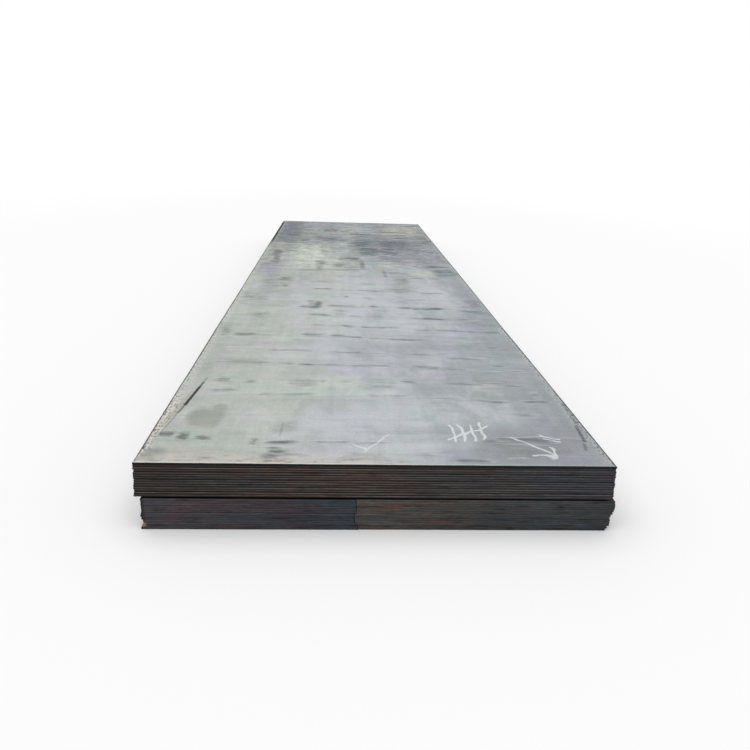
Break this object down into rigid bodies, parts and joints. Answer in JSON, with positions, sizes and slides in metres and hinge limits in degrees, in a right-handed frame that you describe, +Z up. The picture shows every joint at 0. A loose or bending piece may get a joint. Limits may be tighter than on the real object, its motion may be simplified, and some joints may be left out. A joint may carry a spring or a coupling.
{
  "type": "steel plate stack",
  "caption": "Stack of long hot-rolled steel plates with grey mill scale: a pack of full-width plates lying on two narrower packs side by side, as stored in a stockyard.",
  "frame": {"origin": "middle of the underside of the stack", "axes": "+Y along the plates, away from the near end, +Z up through the stack, X across the plates"},
  "size_m": [1.521, 6, 0.2352],
  "materials": {
    "upper_plates": "grey mill scale, dark sheared edges",
    "lower_left_plates": "blue-charcoal mill scale",
    "lower_right_plates": "brown-grey mill scale"
  },
  "bodies": {
    "root": {"upper_plate_01": "upper_plates", "upper_plate_02": "upper_plates", "upper_plate_03": "upper_plates", "upper_plate_04": "upper_plates", "upper_plate_05": "upper_plates", "upper_plate_06": "upper_plates", "upper_plate_07": "upper_plates", "upper_plate_08": "upper_plates", "upper_plate_09": "upper_plates", "upper_plate_10": "upper_plates", "upper_plate_11": "upper_plates", "upper_plate_12": "upper_plates", "upper_plate_13": "upper_plates", "upper_plate_14": "upper_plates", "lower_left_plate_01": "lower_left_plates", "lower_left_plate_02": "lower_left_plates", "lower_left_plate_03": "lower_left_plates", "lower_left_plate_04": "lower_left_plates", "lower_left_plate_05": "lower_left_plates", "lower_left_plate_06": "lower_left_plates", "lower_left_plate_07": "lower_left_plates", "lower_left_plate_08": "lower_left_plates", "lower_left_plate_09": "lower_left_plates", "lower_left_plate_10": "lower_left_plates", "lower_left_plate_11": "lower_left_plates", "lower_left_plate_12": "lower_left_plates", "lower_left_plate_13": "lower_left_plates", "lower_left_plate_14": "lower_left_plates", "lower_right_plate_01": "lower_right_plates", "lower_right_plate_02": "lower_right_plates", "lower_right_plate_03": "lower_right_plates", "lower_right_plate_04": "lower_right_plates", "lower_right_plate_05": "lower_right_plates", "lower_right_plate_06": "lower_right_plates", "lower_right_plate_07": "lower_right_plates", "lower_right_plate_08": "lower_right_plates", "lower_right_plate_09": "lower_right_plates", "lower_right_plate_10": "lower_right_plates", "lower_right_plate_11": "lower_right_plates", "lower_right_plate_12": "lower_right_plates", "lower_right_plate_13": "lower_right_plates", "lower_right_plate_14": "lower_right_plates"}
  },
  "joints": []
}
